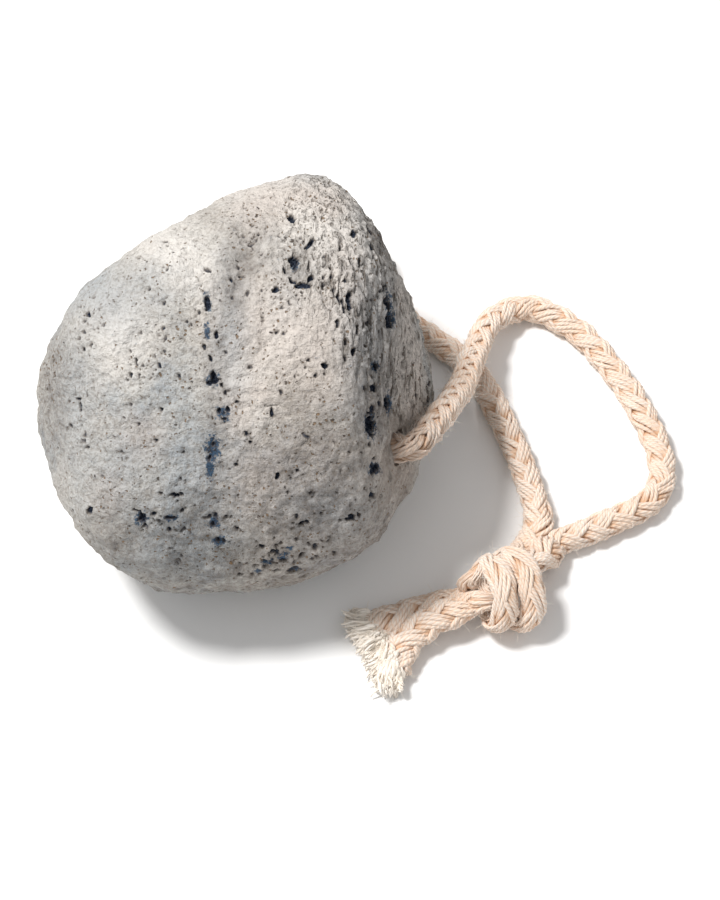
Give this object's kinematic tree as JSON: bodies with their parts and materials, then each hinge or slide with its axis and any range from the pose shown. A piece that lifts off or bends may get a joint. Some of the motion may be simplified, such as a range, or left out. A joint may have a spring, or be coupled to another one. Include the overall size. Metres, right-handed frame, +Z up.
{
  "type": "pumice stone",
  "caption": "Worn, pitted pumice stone with a drilled hole and a loop of braided cotton cord tied in a knot, for smoothing skin.",
  "frame": {"origin": "on the surface that the stone rests on, at the middle of its flat underside", "axes": "+Z up, -Y towards the broad face's foot, +X towards the side that the cord comes out of"},
  "size_m": [0.1205, 0.1005, 0.0598],
  "materials": {
    "pumice": "rough, open-pored, dry",
    "cotton": "matt undyed braided cotton"
  },
  "bodies": {
    "root": {"stone": "pumice", "cord_near_run": "cotton", "cord_far_run": "cotton", "cord_knot": "cotton", "cord_upper_tail": "cotton", "cord_lower_tail": "cotton"}
  },
  "joints": []
}
